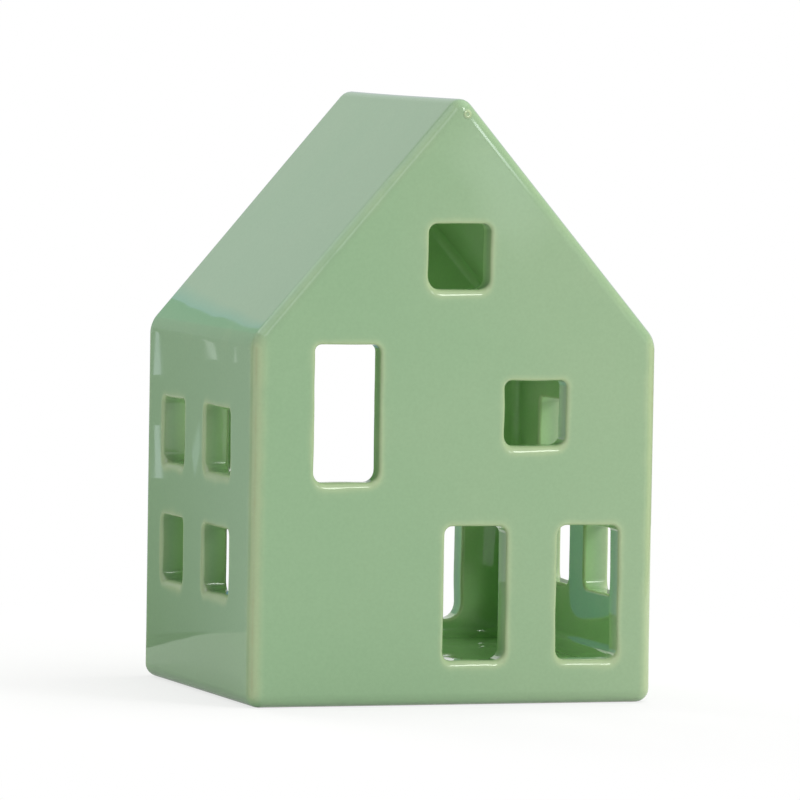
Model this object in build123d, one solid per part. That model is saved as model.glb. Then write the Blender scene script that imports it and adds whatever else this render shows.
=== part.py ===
from build123d import *
import os
from math import cos, radians, tan

# Tealight house: a slip-cast, glazed earthenware house, open at the back, with a tealight on its floor.
# Millimetres, +Z up, front gable towards -Y. The origin is the centre of the foot, on the table.

# House body, outside
body_width = 105.5
body_depth = 92.0
eave_height = 91.0
roof_pitch = 49.25  # degrees from level
ridge_radius = 4.2
eave_radius = 9.0
foot_radius = 2.6
gable_edge_radius = 2.3

# House body, inside
wall = 6.8
base_thickness = 6.2
foot_recess_depth = 3.2
foot_rim_width = 8.0
foot_recess_radius = 6.0
cavity_ridge_radius = 6.0
cavity_eave_radius = 8.0
cavity_floor_radius = 4.6
cavity_rear_radius = 2.45
cavity_front_radius = 1.2

# Openings: every rim is rounded by the glaze, outside and inside
rim_radius = 0.9
rim_flat = 0.05  # flat left between a rounded rim and a rounded corner of the inside
opening_corner_radius = 2.5
square_window = 16.2
tall_window_width = 17.2
tall_window_height = 33.8
door_width = 16.4
door_height = 33.2
door_pier = 13.4
side_window_height = 16.5
left_rear_window_width = 19.2
left_front_window_width = 22.2
right_rear_window_width = 24.6
right_front_window_width = 21.0

# Rear opening: straight sides under a raised round arch
arch_width = 63.8
arch_straight = 30.2
arch_rise = 45.0
arch_corner_radius = 4.0

# Places of the windows, across as shares of the clear half width or half depth between the walls,
# and up as shares of the eave height, or of the roof's rise for the loft window
tall_window_share = -0.62
middle_window_share = 0.45
loft_window_share = 0.0
left_rear_window_share = 0.554
left_front_window_share = -0.403
right_rear_window_share = 0.286
right_front_window_share = -0.587
tall_sill_share = 0.615
middle_sill_share = 0.708
loft_sill_share = 0.204
upper_sill_share = 0.615
lower_sill_share = 0.286

# Tealight: aluminium cup, wax, wick and the wick's tin foot
cup_diameter = 38.0
cup_height = 15.5
foil = 0.3
cup_bead_radius = 0.5
cup_bottom_radius = 1.4
cup_bottom_rise = 0.5
cup_foot_width = 3.0
wax_clearance = 0.3
wax_height = 12.0
wax_edge_radius = 0.8
wick_diameter = 1.8
wick_length = 19.0
wick_clearance = 0.05
sustainer_diameter = 13.0
sustainer_thickness = 0.4
sustainer_neck_wall = 0.4
sustainer_neck_height = 5.0
tealight_x = -9.2

# How far a cutting tool runs past the face that it cuts
overrun = 2.0

# Sizes that follow from the ones above
half_width = body_width / 2
half_depth = body_depth / 2
clear_half_width = half_width - wall
clear_half_depth = half_depth - wall
roof_rise = half_width * tan(radians(roof_pitch))
floor_height = foot_recess_depth + base_thickness
roof_drop = wall / cos(radians(roof_pitch))
clear_eave_height = eave_height + wall * tan(radians(roof_pitch)) - roof_drop
front_margin = cavity_front_radius + rim_flat + rim_radius
rear_margin = cavity_rear_radius + rim_flat + rim_radius
right_door_x = clear_half_width - front_margin - door_width / 2
left_door_x = right_door_x - door_width - door_pier
door_sill = floor_height + front_margin
arch_sill = floor_height + rear_margin


def gable_prism(half_span, base, eave, depth, ridge_fillet, eave_fillet, base_fillet):
    """A prism along Y whose section is a gable front with rounded corners."""
    apex = eave + half_span * tan(radians(roof_pitch))
    outline = Polyline(
        (-half_span, base), (half_span, base), (half_span, eave), (0, apex), (-half_span, eave), close=True
    )
    face = make_face(outline)
    face = fillet(face.vertices().sort_by(Axis.Y)[-1], ridge_fillet)
    face = fillet(face.vertices().sort_by(Axis.Y)[2:4], eave_fillet)
    face = fillet(face.vertices().sort_by(Axis.Y)[:2], base_fillet)
    return Pos(0, depth / 2, 0) * extrude(Plane.XZ * face, amount=depth)


def end_outline(solid, side):
    """Edges around the front (side -1) or rear (side 1) face of a prism along Y."""
    return solid.faces().sort_by(Axis.Y)[0 if side < 0 else -1].edges()


def shell_outside():
    prism = gable_prism(half_width, 0, eave_height, body_depth, ridge_radius, eave_radius, foot_radius)
    return fillet(end_outline(prism, -1) + end_outline(prism, 1), gable_edge_radius)


def shell_cavity():
    prism = gable_prism(
        clear_half_width, floor_height, clear_eave_height, 2 * clear_half_depth,
        cavity_ridge_radius, cavity_eave_radius, cavity_floor_radius,
    )
    prism = fillet(end_outline(prism, 1), cavity_rear_radius)
    return fillet(end_outline(prism, -1), cavity_front_radius)


def foot_recess():
    """The shallow hollow under the base that leaves a rim to stand on."""
    sketch = RectangleRounded(
        body_width - 2 * foot_rim_width, body_depth - 2 * foot_rim_width, foot_recess_radius
    )
    tool = extrude(Pos(0, 0, -overrun) * sketch, amount=foot_recess_depth + overrun)
    return fillet(tool.faces().sort_by(Axis.Z)[-1].edges(), foot_recess_depth / 2)


def rounded_opening(width, height):
    """An opening's outline, centred across and standing on its sill."""
    return Pos(0, height / 2) * RectangleRounded(width, height, opening_corner_radius)


def arch_opening():
    """The rear opening's outline: rounded lower corners, straight sides and a raised round arch."""
    half = arch_width / 2
    corner = arch_corner_radius
    low_left = (-half, corner)
    low_right = (half, corner)
    lines = [
        Line((-half + corner, 0), (half - corner, 0)),
        RadiusArc((half - corner, 0), low_right, -corner),
        Line(low_right, (half, arch_straight)),
        EllipticalCenterArc((0, arch_straight), half, arch_rise, arc_size=180),
        Line((-half, arch_straight), low_left),
        RadiusArc(low_left, (-half + corner, 0), -corner),
    ]
    return make_face(Curve() + lines)


def through_gable(sketch, wall_back, x, sill):
    """Cutter through the front or rear wall, whose side towards +Y is at wall_back, centred at x."""
    plane = Plane((x, wall_back + overrun, sill), x_dir=(1, 0, 0), z_dir=(0, -1, 0))
    return extrude(plane * sketch, amount=wall + 2 * overrun)


def through_side(sketch, side, y, sill):
    """Cutter through the left (side -1) or right (side 1) wall, for an opening centred at y."""
    plane = Plane((side * (half_width + overrun), y, sill), x_dir=(0, -side, 0), z_dir=(-side, 0, 0))
    return extrude(plane * sketch, amount=wall + 2 * overrun)


def opening_cutters():
    square = rounded_opening(square_window, square_window)
    door = rounded_opening(door_width, door_height)
    tall = rounded_opening(tall_window_width, tall_window_height)
    front_openings = [
        (tall, tall_window_share * clear_half_width, tall_sill_share * eave_height),
        (square, middle_window_share * clear_half_width, middle_sill_share * eave_height),
        (square, loft_window_share * clear_half_width, eave_height + loft_sill_share * roof_rise),
        (door, left_door_x, door_sill),
        (door, right_door_x, door_sill),
    ]
    cutters = [through_gable(sketch, -clear_half_depth, x, sill) for sketch, x, sill in front_openings]
    cutters.append(through_gable(arch_opening(), half_depth, 0, arch_sill))
    side_windows = [
        (-1, left_rear_window_share, left_rear_window_width),
        (-1, left_front_window_share, left_front_window_width),
        (1, right_rear_window_share, right_rear_window_width),
        (1, right_front_window_share, right_front_window_width),
    ]
    for side, place_share, width in side_windows:
        window = rounded_opening(width, side_window_height)
        y = place_share * clear_half_depth
        for sill_share in (lower_sill_share, upper_sill_share):
            cutters.append(through_side(window, side, y, sill_share * eave_height))
    return cutters


def flat_face(solid, axis, place):
    """The flat face square to the axis that lies nearest to that place along it."""
    faces = solid.faces().filter_by(GeomType.PLANE).filter_by(axis)
    return min(faces, key=lambda face: abs(face.center().dot(axis.direction) - place))


def rim_edges(solid):
    """Edges of the openings on the flat outer and inner sides of the four walls."""
    wall_faces = [
        (Axis.X, half_width), (Axis.X, clear_half_width), (Axis.Y, half_depth), (Axis.Y, clear_half_depth),
    ]
    edges = ShapeList()
    for axis, distance in wall_faces:
        for side in (-1, 1):
            for wire in flat_face(solid, axis, side * distance).inner_wires():
                edges += wire.edges()
    return edges


def house_body():
    body = shell_outside() - shell_cavity() - foot_recess()
    for cutter in opening_cutters():
        body -= cutter
    return fillet(rim_edges(body), rim_radius)


def tealight_cup():
    """Pressed aluminium cup with a rolled rim, whose bottom is raised inside a narrow foot."""
    radius = cup_diameter / 2 - cup_bead_radius
    hollow_radius = radius - cup_foot_width
    outside = extrude(Circle(radius), amount=cup_height)
    outside = fillet(outside.faces().sort_by(Axis.Z)[0].edges(), cup_bottom_radius)
    outside -= extrude(Circle(hollow_radius), amount=cup_bottom_rise)
    inside = extrude(Pos(0, 0, foil) * Circle(radius - foil), amount=cup_height)
    inside = fillet(inside.faces().sort_by(Axis.Z)[0].edges(), cup_bottom_radius - foil)
    inside -= extrude(Circle(hollow_radius + foil), amount=foil + cup_bottom_rise)
    bead = Pos(0, 0, cup_height - cup_bead_radius) * Torus(radius, cup_bead_radius)
    return outside - inside + (bead - extrude(Circle(radius - foil), amount=cup_height + overrun))


def wax_radius():
    return cup_diameter / 2 - cup_bead_radius - foil - wax_clearance


def sustainer_bore():
    return wick_diameter / 2 + wick_clearance


def wick_sustainer():
    """Tin disc with a crimped neck that holds the wick upright."""
    disc = extrude(Circle(sustainer_diameter / 2), amount=sustainer_thickness)
    neck = Circle(sustainer_bore() + sustainer_neck_wall) - Circle(sustainer_bore())
    return disc + extrude(Pos(0, 0, sustainer_thickness) * neck, amount=sustainer_neck_height)


def wick():
    return Pos(0, 0, sustainer_thickness) * extrude(Circle(wick_diameter / 2), amount=wick_length)


def tealight_wax():
    """Wax disc, moulded around the sustainer and the wick."""
    wax = extrude(Circle(wax_radius()), amount=wax_height)
    wax = fillet(wax.faces().sort_by(Axis.Z)[-1].edges(), wax_edge_radius)
    wax = chamfer(wax.faces().sort_by(Axis.Z)[0].edges(), cup_bottom_radius)
    seat_radius = sustainer_diameter / 2 + wick_clearance
    seat = extrude(Circle(seat_radius), amount=sustainer_thickness + wick_clearance)
    neck_radius = sustainer_bore() + sustainer_neck_wall + wick_clearance
    neck = extrude(Circle(neck_radius), amount=sustainer_thickness + sustainer_neck_height + wick_clearance)
    bore = extrude(Circle(sustainer_bore()), amount=wax_height)
    return wax - seat - neck - bore


cup_place = Pos(tealight_x, 0, floor_height)
candle_place = Pos(tealight_x, 0, floor_height + cup_bottom_rise + foil)

parts = {
    "house_body": house_body(),
    "tealight_cup": cup_place * tealight_cup(),
    "tealight_wax": candle_place * tealight_wax(),
    "wick_sustainer": candle_place * wick_sustainer(),
    "wick": candle_place * wick(),
}

os.makedirs("parts", exist_ok=True)
for name, part in parts.items():
    export_step(part, os.path.join("parts", name + ".step"))
    box = part.bounding_box()
    print(name, "size", [round(v, 2) for v in box.size], "volume", round(part.volume, 1))
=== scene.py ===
import bpy
import bmesh
from math import atan2, ceil, cos, hypot, pi, radians, sin, tan
from mathutils import Matrix, Vector, noise


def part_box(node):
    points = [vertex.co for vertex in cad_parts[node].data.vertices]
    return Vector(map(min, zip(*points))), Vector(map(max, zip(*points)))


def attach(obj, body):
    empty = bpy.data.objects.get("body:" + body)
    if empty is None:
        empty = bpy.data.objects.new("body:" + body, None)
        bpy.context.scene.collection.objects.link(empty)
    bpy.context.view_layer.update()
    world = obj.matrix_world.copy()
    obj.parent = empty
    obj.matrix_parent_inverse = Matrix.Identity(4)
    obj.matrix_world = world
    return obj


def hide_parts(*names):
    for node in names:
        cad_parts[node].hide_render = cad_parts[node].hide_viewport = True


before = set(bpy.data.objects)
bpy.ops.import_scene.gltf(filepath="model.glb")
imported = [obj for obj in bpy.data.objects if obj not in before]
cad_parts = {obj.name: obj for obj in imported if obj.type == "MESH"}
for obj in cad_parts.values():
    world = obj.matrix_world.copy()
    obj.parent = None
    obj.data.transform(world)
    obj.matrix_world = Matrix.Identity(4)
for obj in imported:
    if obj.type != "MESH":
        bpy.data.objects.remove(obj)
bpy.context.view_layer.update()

# Glazed earthenware house for a tealight. Shapes are worked out in millimetres and scaled to metres
# at the end.
mm = 0.001
sameWay = 0.9999  # two directions count as one when their dot product is above this
noise.seed_set(5)  # the same warp each time
houseLow, houseHigh = [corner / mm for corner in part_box("house_body")]
cupLow, cupHigh = [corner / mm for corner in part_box("tealight_cup")]
wickLow, wickHigh = [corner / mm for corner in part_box("wick")]


def addNode(tree, kind, at, settings=None, inputs=None):
    # one shader node: its settings by name, and each input linked to another node's output or set to a value
    node = tree.nodes.new("ShaderNode" + kind)
    node.location = at
    for name, value in (settings or {}).items():
        setattr(node, name, value)
    for name, value in (inputs or {}).items():
        if isinstance(value, bpy.types.NodeSocket):
            tree.links.new(value, node.inputs[name])
        else:
            node.inputs[name].default_value = value
    return node


def linear(hexColour):
    # sRGB hex to linear RGBA
    channels = [int(hexColour[i:i + 2], 16) / 255 for i in (1, 3, 5)]
    return [c / 12.92 if c <= 0.04045 else ((c + 0.055) / 1.055) ** 2.4 for c in channels] + [1.0]


def newMaterial(name):
    material = bpy.data.materials.new(name)
    material.use_nodes = True
    material.node_tree.nodes.clear()
    return material, material.node_tree


def smoothStep(value, low, high):
    t = min(max((value - low) / (high - low), 0.0), 1.0)
    return t * t * (3 - 2 * t)


def finishPiece(bm, name, material, body, node):
    # millimetres to metres, then an object at the origin that stands for its CAD node
    bmesh.ops.scale(bm, verts=bm.verts, vec=(mm, mm, mm))
    openEdges = sum(1 for e in bm.edges if len(e.link_faces) != 2)
    mesh = bpy.data.meshes.new(name)
    bm.to_mesh(mesh)
    bm.free()
    mesh.materials.append(material)
    mesh.polygons.foreach_set("use_smooth", [True] * len(mesh.polygons))
    piece = bpy.data.objects.new(name, mesh)
    bpy.context.scene.collection.objects.link(piece)
    weighted = piece.modifiers.new("Weighted normals", "WEIGHTED_NORMAL")
    weighted.mode = "FACE_AREA"
    weighted.use_face_influence = True  # flat faces, where a piece marks them, keep their own normals
    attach(piece, body)
    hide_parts(node)
    print(name, "faces", len(mesh.polygons), "open edges", openEdges)
    return piece


def growRings(bm, rings, layer=None, values=None):
    # a tube grown ring by ring: the first ring is drawn and each next one is extruded from it
    count = len(rings[0])
    verts = [bm.verts.new(point) for point in rings[0]]
    edges = [bm.edges.new((verts[i - 1], verts[i])) for i in range(count)]
    firstEdges = edges
    for k, ring in enumerate(rings):
        if k > 0:
            previous = set(verts)
            made = bmesh.ops.extrude_edge_only(bm, edges=edges)["geom"]
            follower = {}
            for v in made:
                if isinstance(v, bmesh.types.BMVert):
                    follower.update({e.other_vert(v): v for e in v.link_edges if e.other_vert(v) in previous})
            verts = [follower[v] for v in verts]
            edges = [bm.edges.get((verts[i - 1], verts[i])) for i in range(count)]
        for v, point in zip(verts, ring):
            v.co = point
            if layer:
                v[layer] = values[k]
    return firstEdges, edges


# House shell
house = {
    "pitch": radians(49.25),
    "wall": 6.8,
    "radii": (3.5, 6.5, 3.4, 3.3, 3.3),  # rounding of the ridge, eaves, foot and the two gables' edges
    "innerRadii": (6.0, 8.0, 4.6, 0.8, 2.45),  # the same inside
    "arcSegments": 6,
    "gridStep": 4.0,  # walls are cut this fine so that they can warp
    "gridSnap": 0.05,
    "gridMargin": 0.2,  # share of a step that stays uncut before an edge
    "weld": 0.002,
    "warp": 0.16,  # how far the walls moved in the kiln
    "warpLength": 70.0,
    "warpFade": 10.0,  # the foot was ground flat, so the warp starts above it
    "ridgeLean": (0.6, 0.25),  # how far the gable's tip leans to the right, in front and behind
    "flatStrength": 16384,  # flat faces outweigh the rounded ones where normals are averaged
    "edgeGlaze": (1.95, 2.3, 4.7),  # distances below two faces: bare edge, edge of the pale strip, full glaze
    "edgeShares": (0.55, 0.45),  # how thin the glaze is there: fading to full glaze, and on the pale strip
    # how much of that each edge has: upright, gable to roof, eave and foot
    "edgeThin": (1.0, 0.3, 0.1, 0.12),
    "innerGlazeAndLight": (1.5, 6.3),  # depths below the faces between which the outer glaze turns into the inner one, which is partly painted light
}

# Openings by wall: centre across it, sill height, width, height, then the corner radii, which run bottom
# left, bottom right, top right, top left as seen from outside. They were cut by hand, so no two are
# quite alike.
openings = {
    "front": {
        "tallWindow": (-28.4, 55.5, 16.9, 34.0, (2.6, 2.9, 1.9, 1.7)),
        "middleWindow": (20.7, 64.4, 16.2, 16.2, (2.7, 2.5, 1.6, 1.9)),
        "loftWindow": (0.0, 103.15, 16.2, 16.2, (3.5, 2.6, 1.9, 2.2)),
        "leftDoor": (5.6, 11.1, 16.3, 33.4, (2.4, 2.7, 2.2, 2.0)),
        "rightDoor": (35.2, 11.1, 16.2, 33.4, (2.6, 2.4, 2.0, 2.6)),
    },
    "left": {
        "rearUpper": (-21.7, 55.95, 19.2, 16.5, (2.2, 2.4, 1.7, 2.0)),
        "frontUpper": (15.8, 55.95, 22.2, 16.5, (2.7, 2.2, 1.9, 1.6)),
        "rearLower": (-21.7, 26.0, 19.2, 16.5, (2.3, 2.6, 1.6, 1.8)),
        "frontLower": (15.8, 26.0, 22.2, 16.5, (2.5, 2.4, 1.7, 2.0)),
    },
    "right": {
        "rearUpper": (11.2, 55.95, 24.6, 16.5, (2.4, 2.2, 1.8, 1.7)),
        "frontUpper": (-23.0, 55.95, 21.0, 16.5, (2.2, 2.6, 1.6, 1.9)),
        "rearLower": (11.2, 26.0, 24.6, 16.5, (2.6, 2.3, 1.9, 1.7)),
        "frontLower": (-23.0, 26.0, 21.0, 16.5, (2.4, 2.5, 1.7, 1.8)),
    },
    "rear": {"arch": (0.8, 14.2, 63.8, 73.8, (4.0, 4.0))},
}

rims = {
    "radius": 0.85,  # rounding at the top and the sides
    "sillRadius": 2.0,  # rounding at the sill, where more clay was wiped away
    "innerRadius": 0.85,
    "innerRadii": {"tallWindow": 2.3, "leftDoor": 0.7, "rightDoor": 0.7},  # where it isn't that
    "arcSteps": 6,
    "halo": ((2.4, 0.0), (0.8, 0.2)),  # how far out on the wall, and how thin the glaze is there
    "outerThin": (0.45, 0.3),  # how thin it is where a rounding starts, and how much thinner halfway
    "innerThin": (0.3, 0.5),
    "revealThin": (0.45, 0.1),  # share of the wall's thickness, and how thin the glaze is there
    "pointSpacing": 2.4,
    "archRise": 45.0,
    "archCuts": 47,
    "wobble": 0.15,  # how far the knife strayed
    "wobbleLength": 9.0,
    "unevenness": 0.3,  # how much a rim's rounding varies
    "seedStep": 3.7,  # so that no two rims stray alike
}

# Recess under the foot
recess = {"rim": 8.0, "depth": 3.2, "corner": 6.0, "edge": 0.8, "fillet": 1.6, "arcSteps": 5, "thin": 0.2}

halfWidth = houseHigh.x
halfDepth = houseHigh.y
floorTop = cupLow.z
roofTop = houseHigh.z + house["radii"][0] * (1 / cos(house["pitch"]) - 1)  # where the slopes would meet
eaveHeight = roofTop - halfWidth * tan(house["pitch"])
clearHalfWidth = halfWidth - house["wall"]
clearHalfDepth = halfDepth - house["wall"]
clearEave = eaveHeight + house["wall"] * tan(house["pitch"]) - house["wall"] / cos(house["pitch"])
roofNormal = Vector((sin(house["pitch"]), 0, cos(house["pitch"])))
roofFall = Vector((cos(house["pitch"]), 0, -sin(house["pitch"])))
xAxis, yAxis, zAxis = Vector((1, 0, 0)), Vector((0, 1, 0)), Vector((0, 0, 1))

# For each wall: its outward, across and upward directions, and how far out its face is
walls = {
    "front": (-yAxis, xAxis, zAxis, halfDepth),
    "rear": (yAxis, -xAxis, zAxis, halfDepth),
    "left": (-xAxis, -yAxis, zAxis, halfWidth),
    "right": (xAxis, yAxis, zAxis, halfWidth),
    "foot": (-zAxis, xAxis, -yAxis, 0.0),
}


def roundOff(bm, geom, offset, affect):
    bmesh.ops.bevel(
        bm, geom=geom, offset=offset, offset_type="OFFSET", segments=house["arcSegments"],
        profile=0.5, affect=affect, material=-1, clamp_overlap=False,
    )


def gableShell(bm, half, base, eave, halfLength, radii):
    # a prism along Y with a gable section, all its edges rounded
    ridgeRadius, eaveRadius, baseRadius, frontRadius, rearRadius = radii
    turns = [
        (-half, base, baseRadius, pi / 2),
        (half, base, baseRadius, pi / 2),
        (half, eave, eaveRadius, pi / 2 + house["pitch"]),
        (0, eave + half * tan(house["pitch"]), ridgeRadius, pi - 2 * house["pitch"]),
        (-half, eave, eaveRadius, pi / 2 + house["pitch"]),
    ]
    earlier = set(bm.faces)
    corners = [bm.verts.new((x, -halfLength, z)) for x, z, radius, angle in turns]
    bm.faces.new(corners)
    for corner, (x, z, radius, angle) in zip(corners, turns):
        roundOff(bm, [corner], radius / tan(angle / 2), "VERTICES")
    section = [f for f in bm.faces if f not in earlier]
    made = bmesh.ops.extrude_face_region(bm, geom=section)["geom"]
    farEnd = [g for g in made if isinstance(g, bmesh.types.BMVert)]
    bmesh.ops.translate(bm, verts=farEnd, vec=(0, 2 * halfLength, 0))
    bmesh.ops.recalc_face_normals(bm, faces=[f for f in bm.faces if f not in earlier])
    for side, radius in ((-1, frontRadius), (1, rearRadius)):
        end = next(f for f in bm.faces if f not in earlier and f.normal.y * side > sameWay)
        roundOff(bm, list(end.edges), radius, "EDGES")
    return [f for f in bm.faces if f not in earlier]


def flatFace(faces, normal, distance):
    square = [f for f in faces if f.normal.dot(normal) > sameWay]
    return min(square, key=lambda f: abs(f.calc_center_median().dot(normal) - distance))


def roundedOutline(width, height, corners, rise=0.0, spacing=100.0):
    # outline points across and up, counter-clockwise, with the sill's middle at the origin
    bm = bmesh.new()
    top = height - rise
    ends = [bm.verts.new((x * width / 2, y, 0)) for x, y in ((-1, 0), (1, 0), (1, top), (-1, top))]
    bm.faces.new(ends)
    for corner, radius in zip(ends, corners):
        roundOff(bm, [corner], radius, "VERTICES")
    if rise:
        archEdge = max(bm.edges, key=lambda e: e.verts[0].co.y + e.verts[1].co.y)
        bmesh.ops.subdivide_edges(bm, edges=[archEdge], cuts=rims["archCuts"])
        for v in bm.verts:
            if v.co.y > top - house["weld"]:
                turn = pi / 2 * (1 - v.co.x / (width / 2))
                v.co = (cos(turn) * width / 2, top + sin(turn) * rise, 0)
    for edge in list(bm.edges):
        cuts = ceil(edge.calc_length() / spacing) - 1
        if cuts > 0:
            bmesh.ops.subdivide_edges(bm, edges=[edge], cuts=cuts)
    points = [v.co.copy() for v in next(iter(bm.faces)).verts]
    bm.free()
    return points


def outwardDirections(points):
    tangents = [(points[(i + 1) % len(points)] - points[i - 1]).normalized() for i in range(len(points))]
    return [Vector((t.y, -t.x, 0)) for t in tangents]


def quarterArc(steps):
    return [pi / 2 * k / steps for k in range(steps + 1)]


def cutOpening(bm, glazeLayer, wallName, inner, x, y, width, height, corners):
    # rings round the rim outside, along the reveal and round the rim inside
    outward, across, upward, distance = walls[wallName]
    centre = Vector((x, y, 0))
    rise = rims["archRise"] if wallName == "rear" else 0.0
    points = roundedOutline(width, height, corners, rise, rims["pointSpacing"])
    seed = centre * rims["seedStep"]
    stations = []
    for point, away in zip(points, outwardDirections(points)):
        stray = rims["wobble"] * noise.noise(point / rims["wobbleLength"] + seed)
        sill = max(0.0, -away.y) ** 2
        rounding = rims["radius"] + (rims["sillRadius"] - rims["radius"]) * sill
        rounding *= 1 + rims["unevenness"] * noise.noise(point / rims["wobbleLength"] - seed)
        stations.append((centre + point + away * stray, away, rounding))
    # each step: share of the rounding and millimetres outwards, the same two inwards, thinness of the glaze
    steps = [(1, reach, 0, 0, thin) for reach, thin in rims["halo"]]
    wall, turns = house["wall"], quarterArc(rims["arcSteps"])
    ends, middle = rims["outerThin"]
    steps += [(1 - sin(a), 0, 1 - cos(a), 0, ends + middle * sin(2 * a)) for a in turns]
    steps.append((0, 0, 0, rims["revealThin"][0] * wall, rims["revealThin"][1]))
    ends, middle = rims["innerThin"]
    steps += [
        (0, inner * (1 - cos(a)), 0, wall - inner * (1 - sin(a)), ends + middle * sin(2 * a)) for a in turns
    ]
    rings = []
    for outShare, out, inShare, sunk, thin in steps:
        flat = [(place + away * (outShare * r + out), inShare * r + sunk) for place, away, r in stations]
        rings.append([across * p.x + upward * p.y + outward * (distance - depth) for p, depth in flat])
    return growRings(bm, rings, glazeLayer, [step[-1] for step in steps])


def cutRecess(bm, glazeLayer):
    outward, across, upward, distance = walls["foot"]
    width, depth = 2 * (halfWidth - recess["rim"]), 2 * (halfDepth - recess["rim"])
    points = roundedOutline(width, depth, [recess["corner"]] * 4)
    aways = outwardDirections(points)
    edge, fillet, turns = recess["edge"], recess["fillet"], quarterArc(recess["arcSteps"])
    steps = [(edge * (1 - sin(a)), edge * (1 - cos(a))) for a in turns]
    steps += [(-fillet * (1 - cos(a)), recess["depth"] - fillet * (1 - sin(a))) for a in turns]
    rings = []
    for out, sunk in steps:
        flat = [p + away * out - Vector((0, depth / 2, 0)) for p, away in zip(points, aways)]
        rings.append([across * p.x + upward * p.y + outward * (distance - sunk) for p in flat])
    firstEdges, lastEdges = growRings(bm, rings, glazeLayer, [recess["thin"]] * len(rings))
    bmesh.ops.contextual_create(bm, geom=lastEdges)
    return firstEdges


def fillWall(bm, face, ringEdges):
    # the wall's face filled again round its openings
    outline, normal = list(face.edges), face.normal.copy()
    bmesh.ops.delete(bm, geom=[face], context="FACES_ONLY")
    made = bmesh.ops.triangle_fill(bm, use_beauty=True, edges=outline + ringEdges, normal=normal)["geom"]
    return [g for g in made if isinstance(g, bmesh.types.BMFace)]


def cutGrid(bm, faces, wallLayer):
    # squares over the walls, the roof and the rounded edges between them
    geom = faces + [e for f in faces for e in f.edges] + [v for f in faces for v in f.verts]
    geom = list(dict.fromkeys(geom))  # in a fixed order, which a set wouldn't keep
    step, margin = house["gridStep"], house["gridMargin"]
    planes = []
    for axis in (xAxis, yAxis, zAxis):
        first, last = ceil(houseLow.dot(axis) / step + margin), int(houseHigh.dot(axis) / step - margin)
        planes += [(axis * k * step, axis) for k in range(first, last + 1)]
    for place, normal in planes:
        cut = bmesh.ops.bisect_plane(bm, geom=geom, dist=house["gridSnap"], plane_co=place, plane_no=normal)
        geom = cut["geom"]
    diagonals = []
    for e in dict.fromkeys(g for g in geom if isinstance(g, bmesh.types.BMEdge)):
        wallIds = [f[wallLayer] for f in e.link_faces]
        along = (e.verts[1].co - e.verts[0].co).normalized()
        slant = max(abs(along.dot(way)) for way in (xAxis, yAxis, zAxis, roofFall)) <= sameWay
        if len(wallIds) == 2 and wallIds[0] == wallIds[1] != 0 and slant:
            diagonals.append(e)
    bmesh.ops.dissolve_edges(bm, edges=diagonals, use_verts=False)


def depthsBelow(point):
    # how deep a point lies below the gables, the sides, the roof and the foot
    roof = (roofTop - point.z) * roofNormal.z - abs(point.x) * roofNormal.x
    return halfDepth - abs(point.y), halfWidth - abs(point.x), roof, point.z


def edgeThinness(gable, side, roof, foot):
    # the glaze runs off the edges in the kiln: most from the upright ones, least from the gentle eave
    bare, strip, full = house["edgeGlaze"]
    wide, narrow = house["edgeShares"]
    reaches = gable + side, gable + roof, side + roof, foot + min(gable, side)
    return max(
        share * (wide * smoothStep(-reach, -full, -bare) + narrow * smoothStep(-reach, -strip, -bare))
        for reach, share in zip(reaches, house["edgeThin"])
    )


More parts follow.
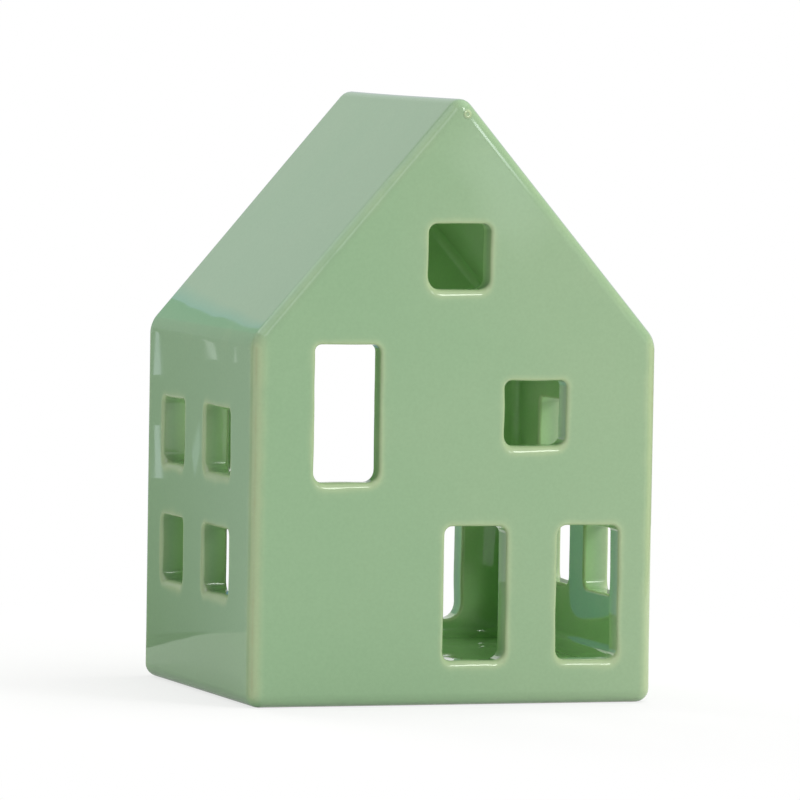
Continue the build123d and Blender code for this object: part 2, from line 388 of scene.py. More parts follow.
def buildHouse(material):
    bm = bmesh.new()
    glazeLayer = bm.verts.layers.float.new("thinGlaze")
    innerLayer = bm.verts.layers.float.new("innerGlazeAndLight")
    wallLayer = bm.faces.layers.int.new("wall")
    strengthLayer = bm.faces.layers.int.new("__mod_weightednormals_faceweight")
    outer = gableShell(bm, halfWidth, 0, eaveHeight, halfDepth, house["radii"])
    inner = gableShell(bm, clearHalfWidth, floorTop, clearEave, clearHalfDepth, house["innerRadii"])
    rings = {}
    for wallName, cuts in openings.items():
        for name, cut in cuts.items():
            innerRadius = rims["innerRadii"].get(name, rims["innerRadius"])
            for layer, ring in enumerate(cutOpening(bm, glazeLayer, wallName, innerRadius, *cut)):
                rings.setdefault((wallName, layer), []).extend(ring)
    rings[("foot", 0)] = cutRecess(bm, glazeLayer)
    bodyFaces = outer + inner
    for layer, shell in enumerate((outer, inner)):
        depth = layer * house["wall"]
        for name, (outward, across, upward, distance) in walls.items():
            if (name, layer) not in rings:
                continue
            face = flatFace(shell, outward, distance - depth)
            shell.remove(face)
            bodyFaces.remove(face)
            filled = fillWall(bm, face, rings[(name, layer)])
            for f in filled:
                f[wallLayer] = len(walls) * layer + list(walls).index(name) + 1
            bodyFaces.extend(filled)
    cutGrid(bm, bodyFaces, wallLayer)
    bmesh.ops.remove_doubles(bm, verts=bm.verts, dist=house["weld"])
    bmesh.ops.recalc_face_normals(bm, faces=bm.faces)
    for f in bm.faces:
        x, y, z = (abs(c) for c in f.normal)
        if max(x, y, z, x * roofNormal.x + z * roofNormal.z) > sameWay:
            f[strengthLayer] = house["flatStrength"]
    frontLean, rearLean = house["ridgeLean"]
    for v in bm.verts:
        depths = depthsBelow(v.co)
        v[glazeLayer] = max(v[glazeLayer], edgeThinness(*depths))
        v[innerLayer] = smoothStep(min(depths), *house["innerGlazeAndLight"])
        fade = smoothStep(v.co.z, recess["depth"], recess["depth"] + house["warpFade"])
        rise = max(0.0, v.co.z - eaveHeight) / (roofTop - eaveHeight)
        back = 0.5 + v.co.y / (2 * halfDepth)
        v.co += noise.noise_vector(v.co / house["warpLength"]) * house["warp"] * fade
        v.co.x += rise * (frontLean * (1 - back) + rearLean * back)
    # the warp may not take the walls past the solid's own box
    for axis, limit in enumerate((halfWidth, halfDepth, houseHigh.z)):
        furthest = max(abs(v.co[axis]) for v in bm.verts)
        for v in bm.verts:
            v.co[axis] *= min(1.0, limit / furthest)
    return finishPiece(bm, "glazedHouse", material, "house", "house_body")


softRange = {"interpolation_type": "SMOOTHSTEP"}
colourMix = {"data_type": "RGBA"}


def perMetre(size):
    # a pattern's scale from the size of its features
    return 1 / (size * mm)


# Pale green glaze over a white clay: it reads as a deep, slightly uneven green with a mirror finish,
# paler and yellower wherever the glaze ran thin over an edge
glaze = {
    "deep": "#8fb188",
    "shallow": "#98b48d",
    "inner": "#90bf7d",  # inside, where the glaze was poured in, it lies thicker and wavier; its colour is also lightened there, as painted light for the light that bounces round the inside
    "paintedLightInnerTop": "#b0da9c",  # painted light: inside, it is lighter higher up, towards the loft
    "paintedLightInnerHeights": (22.0, 85.0),  # heights between which that painted light rises
    "thin": "#bccb9c",
    "brown": "#a3895c",
    "clay": "#d8cbb4",
    "paintedLightSlope": (8.0, 0.0, 0.6),  # painted light: the glaze is made shallower and lighter towards the right and the top, where the key light falls; how much per metre
    "driftSize": 34.0,  # drifts of deeper glaze
    "cloudSize": 9.0,
    "grainSize": 0.8,
    "speckle": 0.025,  # how much the grain lightens and darkens
    "driftShare": 0.8,
    "cloudShare": 0.12,
    "cloudThin": 0.5,  # how much the clouds add to the thinness at the edges
    "shallowRange": (0.05, 1.15),  # drift, cloud and the painted light slope together, from deep to shallow
    "paleRange": (0.3, 1.15),  # thinness over which it turns pale, and how pale
    "palest": 0.6,
    "burntRange": (1.15, 1.5),  # and brown
    "brownest": 0.4,
    "polish": (0.02, 0.045),
    "wavinessSize": 16.0,
    "wavinessHeight": (0.05, 0.5),  # outside and inside
    "clayHeight": 0.12,  # the foot was wiped clean up to here
    "clayRoughness": 0.75,
    "bubble": (1.6, -45.6, 146.3),  # a burst bubble by the ridge
    "bubbleRadii": (0.15, 0.75, 1.425),  # inside, crest and outside of the ring it left
    "bubbleHeight": 0.25,
    "bubbleThin": 0.75,
}


def makeGlaze():
    material, tree = newMaterial("celadonGlazeOnWhiteClay")
    spot = addNode(tree, "TexCoord", (-1900, 0)).outputs["Object"]
    drift, cloud, grain = (
        addNode(
            tree, "TexNoise", (-1650, height), None,
            {"Vector": spot, "Scale": perMetre(glaze[size]), "Detail": detail},
        ).outputs[0]
        for height, size, detail in ((500, "driftSize", 3.0), (250, "cloudSize", 2.0), (0, "grainSize", 1.0))
    )
    # painted light: the glaze turns lighter towards the right and the top
    paintedLightSlope = addNode(
        tree, "VectorMath", (-1650, 750), {"operation": "DOT_PRODUCT"}, {0: spot, 1: glaze["paintedLightSlope"]}
    ).outputs["Value"]
    thinGlaze = addNode(tree, "Attribute", (-1650, -250), {"attribute_name": "thinGlaze"}).outputs["Fac"]
    inner = addNode(tree, "Attribute", (-1650, -450), {"attribute_name": "innerGlazeAndLight"}).outputs["Fac"]

    # a burst bubble left a small ring
    away = addNode(
        tree, "VectorMath", (-1650, -650), {"operation": "DISTANCE"},
        {0: spot, 1: [c * mm for c in glaze["bubble"]]},
    ).outputs["Value"]
    ringInside, ringCrest, ringOutside = [radius * mm for radius in glaze["bubbleRadii"]]
    ringOut = addNode(
        tree, "MapRange", (-1450, -650), softRange,
        {"Value": away, "From Min": ringCrest, "From Max": ringOutside, "To Min": 1.0, "To Max": 0.0},
    ).outputs[0]
    ringIn = addNode(
        tree, "MapRange", (-1450, -900), softRange,
        {"Value": away, "From Min": ringInside, "From Max": ringCrest},
    ).outputs[0]
    ring = addNode(tree, "Math", (-1250, -750), {"operation": "MULTIPLY"}, {0: ringOut, 1: ringIn}).outputs[0]
    thin = addNode(
        tree, "Math", (-1250, -300), {"operation": "MULTIPLY_ADD"},
        {0: ring, 1: glaze["bubbleThin"], 2: thinGlaze},
    ).outputs[0]

    # colour: deep to shallow over the piece, with painted light that lightens it towards the right and the
    # top, then the inner glaze, which is partly painted light, the thin edges and the bare foot
    height = addNode(tree, "SeparateXYZ", (-1250, 300), None, {0: spot}).outputs["Z"]
    # painted light inside: lighter from the floor up to the loft
    lowest, highest = [level * mm for level in glaze["paintedLightInnerHeights"]]
    paintedLightRise = addNode(
        tree, "MapRange", (-1050, 250), softRange, {"Value": height, "From Min": lowest, "From Max": highest}
    ).outputs[0]
    inside = addNode(
        tree, "Mix", (-850, 300), colourMix,
        {0: paintedLightRise, 6: linear(glaze["inner"]), 7: linear(glaze["paintedLightInnerTop"])},
    ).outputs[2]
    driftAndPaintedLight = addNode(
        tree, "Math", (-1450, 650), {"operation": "MULTIPLY_ADD"}, {0: drift, 1: glaze["driftShare"], 2: paintedLightSlope}
    ).outputs[0]
    depth = addNode(
        tree, "Math", (-1250, 550), {"operation": "MULTIPLY_ADD"},
        {0: cloud, 1: glaze["cloudShare"], 2: driftAndPaintedLight},
    ).outputs[0]
    lowest, highest = glaze["shallowRange"]
    shallow = addNode(
        tree, "MapRange", (-1050, 500), softRange, {"Value": depth, "From Min": lowest, "From Max": highest}
    ).outputs[0]
    outside = addNode(
        tree, "Mix", (-850, 450), colourMix,
        {0: shallow, 6: linear(glaze["deep"]), 7: linear(glaze["shallow"])},
    ).outputs[2]
    body = addNode(
        tree, "Mix", (-650, 400), colourMix, {0: inner, 6: outside, 7: inside}
    ).outputs[2]
    uneven = addNode(
        tree, "Math", (-1050, -150), {"operation": "MULTIPLY_ADD"}, {0: cloud, 1: glaze["cloudThin"], 2: thin}
    ).outputs[0]
    lowest, highest = glaze["paleRange"]
    paleness = addNode(
        tree, "MapRange", (-850, 150), softRange,
        {"Value": uneven, "From Min": lowest, "From Max": highest, "To Max": glaze["palest"]},
    ).outputs[0]
    pale = addNode(
        tree, "Mix", (-450, 300), colourMix, {0: paleness, 6: body, 7: linear(glaze["thin"])}
    ).outputs[2]
    lowest, highest = glaze["burntRange"]
    burnt = addNode(
        tree, "MapRange", (-850, -100), softRange,
        {"Value": uneven, "From Min": lowest, "From Max": highest, "To Max": glaze["brownest"]},
    ).outputs[0]
    brown = addNode(
        tree, "Mix", (-250, 200), colourMix, {0: burnt, 6: pale, 7: linear(glaze["brown"])}
    ).outputs[2]
    speckle = glaze["speckle"]
    grainLevel = addNode(
        tree, "MapRange", (-250, -50), None,
        {"Value": grain, "From Min": 0.2, "From Max": 0.8, "To Min": 1 - speckle, "To Max": 1 + speckle},
    ).outputs[0]
    grainy = addNode(
        tree, "HueSaturation", (-50, 150), None, {"Color": brown, "Value": grainLevel}
    ).outputs[0]
    wipedTop = glaze["clayHeight"] * mm
    wiped = addNode(
        tree, "MapRange", (-850, -500), softRange,
        {"Value": height, "From Min": 0.6 * wipedTop, "From Max": wipedTop, "To Min": 1.0, "To Max": 0.0},
    ).outputs[0]
    colour = addNode(
        tree, "Mix", (150, 100), colourMix, {0: wiped, 6: grainy, 7: linear(glaze["clay"])}
    ).outputs[2]

    # gloss: a mirror with long shallow waves, and a dull wiped foot
    lowest, highest = glaze["polish"]
    polish = addNode(
        tree, "MapRange", (-450, -200), softRange,
        {"Value": cloud, "From Min": 0.3, "From Max": 0.7, "To Min": lowest, "To Max": highest},
    ).outputs[0]
    roughness = addNode(
        tree, "Mix", (-250, -300), None, {0: wiped, 2: polish, 3: glaze["clayRoughness"]}
    ).outputs[0]
    waves = addNode(
        tree, "TexNoise", (-1050, -900), None,
        {"Vector": spot, "Scale": perMetre(glaze["wavinessSize"]), "Detail": 0.3},
    ).outputs[0]
    outer, deeper = [h * mm for h in glaze["wavinessHeight"]]
    swell = addNode(tree, "Mix", (-850, -750), None, {0: inner, 2: outer, 3: deeper}).outputs[0]
    waviness = addNode(
        tree, "Bump", (-450, -700), None, {"Height": waves, "Distance": swell, "Strength": 1.0}
    ).outputs[0]
    bump = addNode(
        tree, "Bump", (-250, -600), None,
        {"Height": ring, "Distance": glaze["bubbleHeight"] * mm, "Strength": 1.0, "Normal": waviness},
    ).outputs[0]
    shader = addNode(
        tree, "BsdfPrincipled", (350, 100), None,
        {"Base Color": colour, "Roughness": roughness, "IOR": 1.5, "Normal": bump},
    )
    addNode(tree, "OutputMaterial", (650, 100), None, {"Surface": shader.outputs[0]})
    return material


buildHouse(makeGlaze())

# Tealight: an aluminium cup, a paraffin disc, a tin sustainer and a plaited wick
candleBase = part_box("tealight_wax")[0].z / mm
tealightCentre = (cupLow + cupHigh) / 2
tealightCentre.z = 0
poleWeld = 0.001


def arcPoints(centre, radius, start, end, steps):
    turns = [radians(start + (end - start) * k / steps) for k in range(steps + 1)]
    return [(centre[0] + radius * cos(t), centre[1] + radius * sin(t)) for t in turns]


def turnProfile(bm, profile, steps, closed=False):
    # a profile of radius and height, spun once round the upright axis
    verts = [bm.verts.new((r, 0, z)) for r, z in profile]
    edges = [bm.edges.new(pair) for pair in zip(verts, verts[1:])]
    if closed:
        edges.append(bm.edges.new((verts[-1], verts[0])))
    bmesh.ops.spin(
        bm, geom=verts + edges, cent=(0, 0, 0), axis=zAxis, dvec=(0, 0, 0),
        angle=2 * pi, steps=steps, use_merge=True,
    )
    bmesh.ops.remove_doubles(bm, verts=bm.verts, dist=poleWeld)
    bmesh.ops.recalc_face_normals(bm, faces=bm.faces)


cup = {
    "radius": 18.5,
    "foil": 0.3,
    "height": 15.5,
    "bead": 0.5,
    "footInside": 15.5,
    "rise": 0.5,
    "corner": 1.4,
    "pleats": 72,
    "pleatDepth": 0.07,
    "crease": (0.6, 4.0, 9.0),  # share in the pleats, then how often round and how far up it changes
    "turnSteps": 360,
}


def buildCup(material):
    radius, foil, corner, rise = cup["radius"], cup["foil"], cup["corner"], cup["rise"]
    beadHeight = cup["height"] - cup["bead"]
    foot = cup["footInside"]
    profile = [(0, rise), (foot - 3.0, rise), (foot - 0.2, rise), (foot - 0.05, 0.35), (foot, 0.12)]
    profile += [(foot + 0.15, 0), (radius - corner, 0)]
    profile += arcPoints((radius - corner, corner), corner, -75, 0, 5)
    profile += [(radius, corner + (beadHeight - 2.2) * k / 10) for k in range(1, 11)]
    profile += arcPoints((radius, beadHeight), cup["bead"], -85, 150, 10)
    inside = radius - foil
    profile += [(inside, corner + (beadHeight - 2.2) * k / 10) for k in range(10, -1, -1)]
    profile += arcPoints((radius - corner, corner), corner - foil, -15, -90, 5)
    profile += [(foot + 0.7, foil), (foot + 0.35, foil + 0.08), (foot + 0.1, rise + 0.2)]
    profile += [(foot - 0.1, rise + foil), (foot - 3.0, rise + foil), (0, rise + foil)]
    bm = bmesh.new()
    turnProfile(bm, profile, cup["turnSteps"])
    creaseShare, creaseTurns, creaseHeight = cup["crease"]
    for v in bm.verts:
        reach, turn = hypot(v.co.x, v.co.y), atan2(v.co.y, v.co.x)
        if reach > inside - 0.1 and corner < v.co.z < beadHeight - 0.6:
            fade = smoothStep(v.co.z, corner, 5.0) * smoothStep(v.co.z, beadHeight - 0.6, beadHeight - 2.5)
            crease = noise.noise((creaseTurns * cos(turn), creaseTurns * sin(turn), v.co.z / creaseHeight))
            depth = 0.5 - 0.5 * cos(cup["pleats"] * turn) + creaseShare * crease
            shrink = 1 - cup["pleatDepth"] * fade * depth / reach
            v.co.x *= shrink
            v.co.y *= shrink
    bmesh.ops.translate(bm, verts=bm.verts, vec=tealightCentre + zAxis * cupLow.z)
    return finishPiece(bm, "tealightCup", material, "tealight", "tealight_cup")


wax = {
    "radius": 17.9,
    "height": 12.0,
    "edge": 0.8,
    "chamfer": 1.4,
    "bore": 0.95,
    "neck": (1.4, 5.45),
    "seat": (6.55, 0.45),
    "sag": 0.12,
    "sagLength": 7.0,
    "turnSteps": 120,
}


def buildWax(material):
    radius, height, edge = wax["radius"], wax["height"], wax["edge"]
    neckRadius, neckTop = wax["neck"]
    seatRadius, seatTop = wax["seat"]
    profile = [(wax["bore"], neckTop), (wax["bore"], 8.5), (wax["bore"], height - 0.55)]
    # the wax shrank as it set: a hollow round the wick and a low ring by the wall
    profile += [(1.15, height - 0.42), (1.6, height - 0.42), (2.4, height - 0.5), (3.6, height - 0.45)]
    profile += [(r, height - 0.4 + 0.3 * smoothStep(r, 3.6, 15.0)) for r in (5.5, 8.0, 10.5, 13.0, 15.0)]
    profile += arcPoints((radius - edge, height - edge), edge, 95, 0, 6)
    profile += [(radius, 8.5), (radius, 5.0), (radius, wax["chamfer"]), (radius - wax["chamfer"], 0)]
    profile += [(12.0, 0), (seatRadius, 0), (seatRadius, seatTop)]
    profile += [(neckRadius, seatTop), (neckRadius, neckTop)]
    bm = bmesh.new()
    turnProfile(bm, profile, wax["turnSteps"], closed=True)
    for v in bm.verts:
        lift = smoothStep(v.co.z, height - 1.0, height - 0.6) * smoothStep(hypot(v.co.x, v.co.y), 1.2, 4.0)
        v.co.z += wax["sag"] * lift * (noise.noise(v.co / wax["sagLength"]) - 0.6)
    bmesh.ops.translate(bm, verts=bm.verts, vec=tealightCentre + zAxis * candleBase)
    return finishPiece(bm, "tealightWax", material, "candle", "tealight_wax")


sustainer = {
    "radius": 6.5,
    "thick": 0.4,
    "bore": 0.95,
    "neck": 1.35,
    "height": 5.4,
    "crimps": 4,
    "crimpDepth": 0.05,
    "turnSteps": 96,
}


def buildSustainer(material):
    thick, radius, neck, bore, top = (sustainer[key] for key in ("thick", "radius", "neck", "bore", "height"))
    profile = [(0, 0), (2.5, 0), (4.6, 0), (4.8, 0.06), (5.2, 0.06), (5.4, 0)]
    profile += arcPoints((radius - 0.18, 0.18), 0.18, -90, 90, 6)
    profile += [(5.4, thick), (5.2, thick - 0.05), (4.8, thick - 0.05), (4.6, thick), (2.2, thick)]
    profile += arcPoints((neck + 0.35, thick + 0.35), 0.35, 270, 180, 4)
    profile += [(neck, 1.6), (neck, 2.6), (neck, 3.6), (neck, 4.6)]
    profile += arcPoints(((neck + bore) / 2, top - 0.2), (neck - bore) / 2, 0, 180, 6)
    profile += [(bore, 4.6), (bore, 3.6), (bore, 2.6), (bore, 1.6), (bore, thick), (0, thick)]
    bm = bmesh.new()
    turnProfile(bm, profile, sustainer["turnSteps"])
    for v in bm.verts:
        pinch = smoothStep(v.co.z, 1.2, 2.6) * smoothStep(-v.co.z, -4.8, -3.6)
        turn = atan2(v.co.y, v.co.x)
        shrink = 1 - sustainer["crimpDepth"] * pinch * max(0.0, cos(sustainer["crimps"] * turn))
        v.co.x *= shrink
        v.co.y *= shrink
    bmesh.ops.translate(bm, verts=bm.verts, vec=tealightCentre + zAxis * candleBase)
    return finishPiece(bm, "wickSustainer", material, "candle", "wick_sustainer")


plait = {
    "strands": 3,
    "radius": 0.4,
    "swing": (0.46, 0.22),
    "pitch": 5.2,
    "ringStep": 0.3,
    "sides": 12,
    "taper": 0.6,
    "pinch": 0.45,  # how much thinner a strand is at its tip
}


def buildWick(material):
    bm = bmesh.new()
    wide, narrow = plait["swing"]
    length = wickHigh.z - wickLow.z
    levels = ceil(length / plait["ringStep"])
    for strand in range(plait["strands"]):
        rings = []
        for k in range(levels + 1):
            rise = length * k / levels
            turn = 2 * pi * (rise / plait["pitch"] + strand / plait["strands"])
            centre = Vector((wide * sin(turn), narrow * sin(2 * turn), wickLow.z + rise))
            thinning = plait["pinch"] * smoothStep(rise, length - plait["taper"], length)
            thick = plait["radius"] * (1 - thinning)
            angles = [2 * pi * i / plait["sides"] for i in range(plait["sides"])]
            rings.append([centre + Vector((thick * cos(a), thick * sin(a), 0)) for a in angles])
        for edges in growRings(bm, rings):
            bmesh.ops.contextual_create(bm, geom=edges)
    bmesh.ops.recalc_face_normals(bm, faces=bm.faces)
    bmesh.ops.translate(bm, verts=bm.verts, vec=tealightCentre)
    return finishPiece(bm, "plaitedWick", material, "candle", "wick")


# The finishes below say of each pattern: size, how many times longer it is upright, detail and depth. The
# first one shares out the two colours and the gloss between two of its levels.

# Thin drawn aluminium: bright, with fine upright draw marks that break up its reflections, and crinkles
foilLook = {
    "colours": ("#d9dadb", "#bfc1c2"),
    "colourLevels": (0.35, 0.7),
    "patterns": ((0.5, 20.0, 3.0, 0.01), (2.2, 1.0, 2.0, 0.06)),
    "glossLevels": (0.3, 0.7),
    "roughness": (0.22, 0.36),
    "shader": {"Metallic": 1.0},
}

# Stamped tin plate: greyer and duller than the cup, with light scuffs
tinLook = {
    "colours": ("#b7b9b6", "#8f918e"),
    "colourLevels": (0.4, 0.75),
    "patterns": ((0.9, 1.0, 4.0, 0.01),),
    "glossLevels": (0.3, 0.7),
    "roughness": (0.3, 0.48),
    "shader": {"Metallic": 1.0},
}

# Paraffin wax, poured: light goes a few millimetres in, so it glows softly, and its frost shows as a
# faint mottle over small pits
waxLook = {
    "colours": ("#f5f1e8", "#ebe6da"),
    "colourLevels": (0.4, 0.65),
    "patterns": ((3.2, 1.0, 4.0, 0.0), (0.7, 1.0, 2.0, 0.02)),
    "glossLevels": (0.35, 0.65),
    "roughness": (0.32, 0.46),
    "shader": {
        "IOR": 1.43, "Subsurface Weight": 0.6, "Subsurface Radius": (1.0, 0.8, 0.6),
        "Subsurface Scale": 1.5 * mm,
    },
}

# Plaited cotton yarn, primed with wax: matt and fibrous, a little yellow
cottonLook = {
    "colours": ("#d3c8ae", "#efe9da"),
    "colourLevels": (0.35, 0.65),
    "patterns": ((0.16, 6.0, 3.0, 0.05),),
    "shader": {"Roughness": 0.85, "Sheen Weight": 0.25},
}


def makeFinish(name, look):
    material, tree = newMaterial(name)
    spot = addNode(tree, "TexCoord", (-1000, 0)).outputs["Object"]
    levels, inputs = [], dict(look["shader"])
    for k, (size, stretch, detail, depth) in enumerate(look["patterns"]):
        squeezed = addNode(
            tree, "Mapping", (-800, -300 * k), None, {"Vector": spot, "Scale": (1, 1, 1 / stretch)}
        ).outputs[0]
        levels.append(addNode(
            tree, "TexNoise", (-600, -300 * k), None,
            {"Vector": squeezed, "Scale": perMetre(size), "Detail": detail},
        ).outputs[0])
        if depth > 0:
            relief = {"Height": levels[k], "Distance": depth * mm, "Strength": 1.0}
            if "Normal" in inputs:
                relief["Normal"] = inputs["Normal"]
            inputs["Normal"] = addNode(tree, "Bump", (200 * k - 200, -200), None, relief).outputs[0]
    low, high = look["colourLevels"]
    share = addNode(
        tree, "MapRange", (-400, 250), softRange, {"Value": levels[0], "From Min": low, "From Max": high}
    ).outputs[0]
    first, second = [linear(colour) for colour in look["colours"]]
    inputs["Base Color"] = addNode(
        tree, "Mix", (-200, 200), colourMix, {0: share, 6: first, 7: second}
    ).outputs[2]
    if "glossLevels" in look:
        low, high = look["glossLevels"]
        smooth, rough = look["roughness"]
        inputs["Roughness"] = addNode(
            tree, "MapRange", (-400, 0), softRange,
            {"Value": levels[0], "From Min": low, "From Max": high, "To Min": smooth, "To Max": rough},
        ).outputs[0]
    shader = addNode(tree, "BsdfPrincipled", (250, 100), None, inputs)
    addNode(tree, "OutputMaterial", (550, 100), None, {"Surface": shader.outputs[0]})
    return material


buildCup(makeFinish("drawnAluminiumFoil", foilLook))
buildWax(makeFinish("paraffinWax", waxLook))
buildSustainer(makeFinish("stampedTinPlate", tinLook))
buildWick(makeFinish("plaitedCottonYarn", cottonLook))

# Camera: the photograph's own place, seen through a long lens
view = {
    "yaw": radians(18.44),
    "pitch": radians(3.23),
    "roll": radians(0.90),
    "distance": 2017.7,
    "target": Vector((0, 0, 76.09)),
    "slide": (0.44, -2.99),  # across and up, to put the house where the photograph has it
    "lens": 360,
}


def addCamera():
    level = cos(view["pitch"])
    forward = Vector((sin(view["yaw"]) * level, cos(view["yaw"]) * level, -sin(view["pitch"])))
    right = Vector((cos(view["yaw"]), -sin(view["yaw"]), 0))
    upward = right.cross(forward)
    across = right * cos(view["roll"]) + upward * sin(view["roll"])
    above = upward * cos(view["roll"]) - right * sin(view["roll"])
    data = bpy.data.cameras.new("camera")
    data.lens = view["lens"]
    camera = bpy.data.objects.new("camera", data)
    place = view["target"] - forward * view["distance"] + right * view["slide"][0] + upward * view["slide"][1]
    turn = Matrix((across, above, -forward)).transposed().to_4x4()
    camera.matrix_world = Matrix.Translation(place * mm) @ turn
    bpy.context.scene.collection.objects.link(camera)
    bpy.context.scene.camera = camera


addCamera()

# Studio: a pale table, soft boxes above, at the front right and behind, and cards that only the glaze
# mirrors
studio = {
    "floorSize": 6000.0,
    "floorColour": "#e9e9e7",
    "fade": (90.0, 260.0),  # the table melts into the background over this distance
    "nearGlow": 0.72,  # from this much of the background's white
    "worldStrength": 0.45,
    "rearCards": 165.0,  # how far behind the house its cards stand
}


def addShownRays(tree, at):
    # 1 for the rays that show the background: camera, mirror and glass rays
    path = addNode(tree, "LightPath", at)
    rays = {0: path.outputs["Is Camera Ray"], 1: path.outputs["Is Glossy Ray"]}
    seen = addNode(tree, "Math", (at[0] + 200, at[1]), {"operation": "MAXIMUM"}, rays)
    rays = {0: seen.outputs[0], 1: path.outputs["Is Transmission Ray"]}
    return addNode(tree, "Math", (at[0] + 400, at[1]), {"operation": "MAXIMUM"}, rays).outputs[0]


def addWorld():
    world = bpy.data.worlds.new("studioAir")
    world.use_nodes = True
    tree = world.node_tree
    tree.nodes.clear()
    shown = addShownRays(tree, (-800, 0))
    strength = addNode(tree, "Mix", (-200, 0), None, {0: shown, 2: studio["worldStrength"], 3: 1.0})
    background = addNode(
        tree, "Background", (0, 0), None, {"Color": (1, 1, 1, 1), "Strength": strength.outputs[0]}
    )
    addNode(tree, "OutputWorld", (200, 0), None, {"Surface": background.outputs[0]})
    bpy.context.scene.world = world


def addStagePiece(bm, name, material):
    bmesh.ops.scale(bm, verts=bm.verts, vec=(mm, mm, mm))
    mesh = bpy.data.meshes.new(name)
    bm.to_mesh(mesh)
    bm.free()
    mesh.materials.append(material)
    piece = bpy.data.objects.new(name, mesh)
    bpy.context.scene.collection.objects.link(piece)
    return piece


def addFloor():
    material, tree = newMaterial("paleTablePaper")
    material.cycles.emission_sampling = "NONE"
    shown = addShownRays(tree, (-800, -200))
    spot = addNode(tree, "TexCoord", (-800, 200)).outputs["Object"]
    reach = addNode(tree, "VectorMath", (-600, 200), {"operation": "LENGTH"}, {0: spot}).outputs["Value"]
    near, far = studio["fade"]
    glow = addNode(
        tree, "MapRange", (-400, 200), softRange,
        {"Value": reach, "From Min": near * mm, "From Max": far * mm, "To Min": studio["nearGlow"]},
    ).outputs[0]
    share = addNode(tree, "Math", (-200, 0), {"operation": "MULTIPLY"}, {0: glow, 1: shown}).outputs[0]
    paper = addNode(tree, "BsdfDiffuse", (-200, 200), None, {"Color": linear(studio["floorColour"])})
    white = addNode(tree, "Emission", (-200, -200), None, {"Color": (1, 1, 1, 1), "Strength": 1.0})
    mixed = addNode(tree, "MixShader", (0, 0), None, {0: share, 1: paper.outputs[0], 2: white.outputs[0]})
    addNode(tree, "OutputMaterial", (200, 0), None, {"Surface": mixed.outputs[0]})
    bm = bmesh.new()
    bmesh.ops.create_grid(bm, x_segments=1, y_segments=1, size=studio["floorSize"] / 2)
    addStagePiece(bm, "tableTop", material)


def addLight(name, place, aim, size, watts):
    data = bpy.data.lights.new(name, "AREA")
    data.shape = "RECTANGLE"
    data.size = data.size_y = size * mm
    data.energy = watts
    light = bpy.data.objects.new(name, data)
    light.visible_glossy = False  # the cards give the highlights
    turn = (Vector(aim) - Vector(place)).to_track_quat("-Z", "Y").to_matrix().to_4x4()
    light.matrix_world = Matrix.Translation(Vector(place) * mm) @ turn
    bpy.context.scene.collection.objects.link(light)


def addCard(name, corners, colour, strength=1.0, cover=(1, 1, 1, 1), soft=(0, 0)):
    # a card that only mirror rays see: cover is how solid it is at each corner, soft lets its edges fade
    material, tree = newMaterial(name + "Paper")
    material.cycles.emission_sampling = "NONE"
    solid = addNode(tree, "Attribute", (-200, 200), {"attribute_name": "cover"}).outputs["Fac"]
    clear = addNode(tree, "BsdfTransparent", (-200, 0))
    shade = addNode(tree, "Emission", (-200, -200), None, {"Color": linear(colour), "Strength": strength})
    mixed = addNode(tree, "MixShader", (0, 0), None, {0: solid, 1: clear.outputs[0], 2: shade.outputs[0]})
    addNode(tree, "OutputMaterial", (200, 0), None, {"Surface": mixed.outputs[0]})
    bm = bmesh.new()
    coverLayer = bm.verts.layers.float.new("cover")
    bmesh.ops.create_grid(bm, x_segments=12, y_segments=12, size=0.5)
    for v in bm.verts:
        a, b = v.co.x + 0.5, v.co.y + 0.5
        shares = ((1 - a) * (1 - b), a * (1 - b), a * b, (1 - a) * b)
        fade = (1 - soft[0] * (2 * a - 1) ** 2) * (1 - soft[1] * (2 * b - 1) ** 2)
        v[coverLayer] = fade * sum(share * c for share, c in zip(shares, cover))
        v.co = sum((Vector(corner) * share for share, corner in zip(shares, corners)), Vector())
    card = addStagePiece(bm, name, material)
    card.visible_camera = False
    card.visible_diffuse = False
    card.visible_shadow = False


def addRearCard(name, step, corners, *look):
    # a card that stands behind the house, step millimetres nearer to it than the rearmost one
    addCard(name, [(x, studio["rearCards"] - step, z) for x, z in corners], *look)


addWorld()
addFloor()
addLight("softBoxAbove", (330, -80, 1150), (0, 0, 60), 800, 9.0)
addLight("softBoxFrontRight", (900, -1150, 780), (0, 0, 80), 500, 9.0)
addLight("softBoxBehind", (-350, 1200, 420), (0, 0, 40), 700, 12.0)
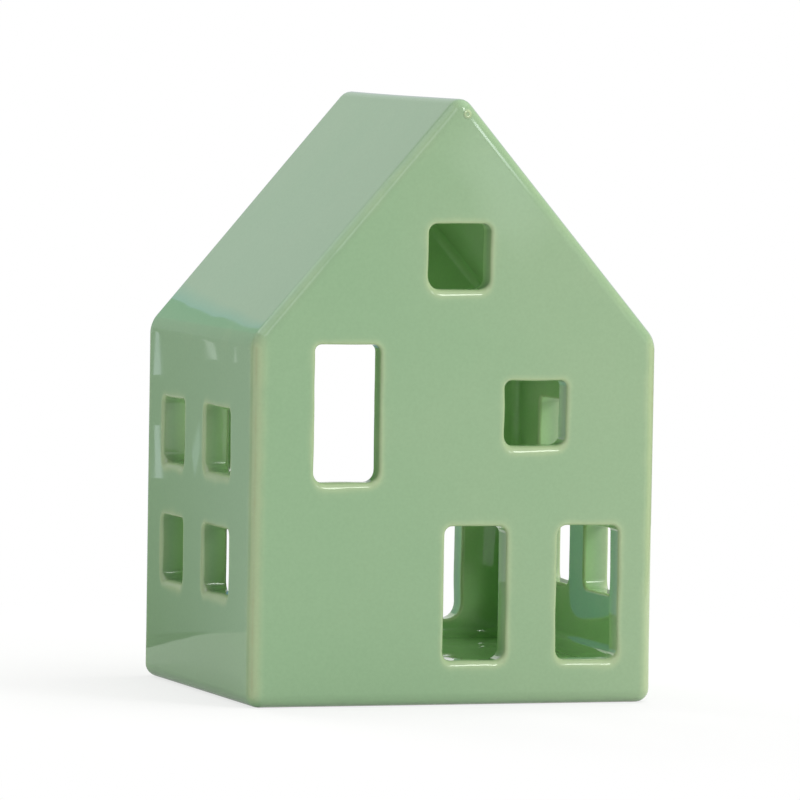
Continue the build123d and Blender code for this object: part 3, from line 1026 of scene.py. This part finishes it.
# what the left wall and the roof mirror: a dim room, its windows and a pale ceiling beyond a slanting edge
addRearCard("roomCard", 0, [(-1500, 0), (20, 0), (-85, 216), (-1500, 216)], "#9ba1a5")
addRearCard("ceilingCard", 1, [(-37, 90), (600, 90), (600, 500), (-240, 500)], "#c7c8d4")
addRearCard("corniceCard", 2, [(-50, 116), (-43, 119), (-76, 171), (-80, 176)], "#95bcd5", 1, (1, 0, 0, 1))
addRearCard("beamCard", 1.5, [(-120, 76), (-40, 76), (-50, 116), (-140, 296)], "#5a9a90", 1, (0, 0, 0.9, 0.4))
addRearCard("shadeCard", 2, [(-119, -2), (-84, -2), (-84, 100), (-119, 100)], "#0c0f12", 1, (0, 1, 0.4, 0))
addRearCard("curtainCard", 3, [(-45, 0), (35, 0), (20, 60), (-45, 60)], "#5f8a9f")
panes = {
    "windowOne": ([(-91.2, 70.5), (-88.5, 70.5), (-89.3, 87.5), (-90.2, 87.5)], "#d6dfea"),
    "windowTwo": ([(-106.2, 74.7), (-104.8, 74.7), (-102.2, 87.5), (-103.9, 87.5)], "#dfe5e8"),
    "windowThree": ([(-112.3, 73.5), (-111.6, 73.5), (-111.4, 79.5), (-111.6, 79.5)], "#dfe5e8"),
    "windowFour": ([(-90.8, 42.5), (-88.7, 42.5), (-89.0, 56.9), (-90.7, 56.9)], "#d3dce6"),
    "windowFive": ([(-101.3, 42.8), (-100.4, 50), (-102.2, 58), (-103.0, 51)], "#b6c4c9"),
    "windowSix": ([(-113.0, 36), (-112.7, 36), (-112.6, 57), (-112.9, 57)], "#a9b4b6"),
}
for name, (corners, colour) in panes.items():
    addRearCard(name, 4, corners, colour)
# the table and its far seam beside the left wall, and the dimmer strip along the foot
addCard("tableCard", [(-700, -46, 0.05), (-54, -46, 0.05), (-54, 94, 0.05), (-700, 946, 0.05)], "#b6bab6")
addCard("seamCard", [(-700, 60, 0.03), (-54, 60, 0.03), (-54, 165, 0.03), (-700, 165, 0.03)], "#2a2e2f")
addCard(
    "footShade", [(-78, -46, 0.1), (-49, -46, 0.1), (-49, 75, 0.1), (-78, 75, 0.1)], "#9aa19a",
    cover=(0, 1.3, 1.3, 0),
)
# the room on the right
addCard("sideCard", [(300, -270, 0), (560, 330, 0), (560, 330, 520), (300, -270, 520)], "#868d84")
addCard("cornerCard", [(560, 330, 0), (240, 560, 0), (240, 560, 520), (560, 330, 520)], "#868d84")
# small lamps that draw the highlights along the roof's edges and on the sills
addCard(
    "lampRight", [(200, -504, 170), (222, -502, 145), (370, -372, 272), (349, -373, 298)], "#f4fbff", 9.0,
    cover=(1.2, 0.1, 0.1, 1.2), soft=(0, 1),
)
addCard(
    "lampLeft", [(-177, -516, 482), (-273, -520, 376), (-396, -335, 482), (-299, -332, 587)], "#f4fbff", 3.0,
    soft=(0, 1),
)
addCard(
    "lampBehind", [(-321, -257, 614), (-427, -260, 500), (-213, 483, 316), (-110, 477, 432)], "#e4f0ee", 2.4
)
addCard(
    "lampFront", [(176, -546, 147), (212, -546, 104), (193, -546, 84), (155, -546, 127)], "#f2f5f6", 2.4,
    soft=(1, 1),
)
addCard(
    "lampSills", [(130, -478, 310), (275, -478, 310), (275, -478, 550), (130, -478, 550)], "#f7fbf6", 14.0,
    soft=(0, 0.6),
)
bpy.context.scene.view_settings.view_transform = "Standard"
print("studio ready")
